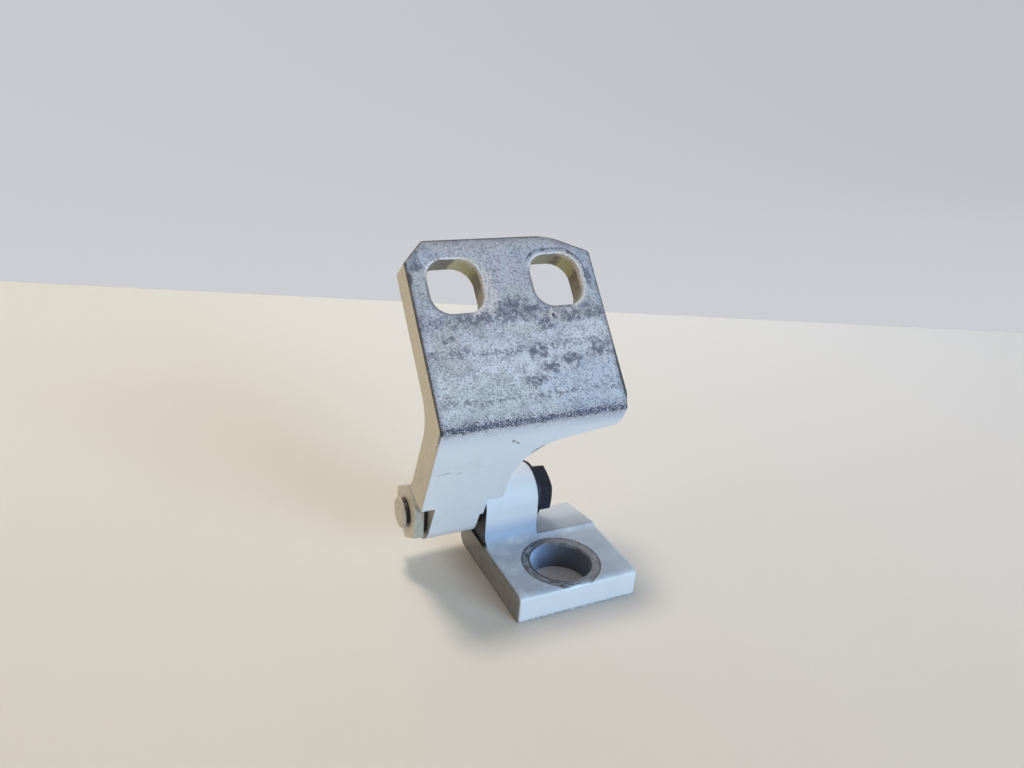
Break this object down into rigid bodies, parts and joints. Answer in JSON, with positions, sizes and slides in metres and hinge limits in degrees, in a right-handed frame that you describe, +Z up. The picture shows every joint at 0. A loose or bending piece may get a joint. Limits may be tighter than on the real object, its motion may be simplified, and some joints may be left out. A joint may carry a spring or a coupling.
{
  "type": "car door hinge",
  "caption": "Car door hinge: a bent leaf with square bolt holes swings on a hexagon-headed pin held in the eye of a flat base leaf.",
  "frame": {"origin": "centre of the base leaf's bolt hole, on the contact face under the base", "axes": "+Z up from the base's contact face along the bolt hole, +X along the hinge pin from its hexagon head to its nut, +Y from the bolt hole back to the pin"},
  "size_m": [0.0604, 0.0508, 0.095],
  "materials": {
    "painted_leaf": "satin white paint over zinc-plated steel, bare zinc on the plate's contact face",
    "pin_steel": "turned steel, head painted over",
    "bush": "dark low-friction bush",
    "black_steel": "matte black coated steel"
  },
  "bodies": {
    "base": {"lower_leaf": "painted_leaf", "hinge_pin": "pin_steel", "flange_nut": "black_steel"},
    "leaf": {"upper_leaf": "painted_leaf", "outer_bush": "bush", "inner_bush": "bush"}
  },
  "joints": [
    {"name": "leaf_swing", "type": "hinge", "parent": "base", "child": "leaf", "pos_m": [0, 0.0235, 0.019], "axis": [1, 0, 0], "range_deg": [-48, 22]}
  ]
}
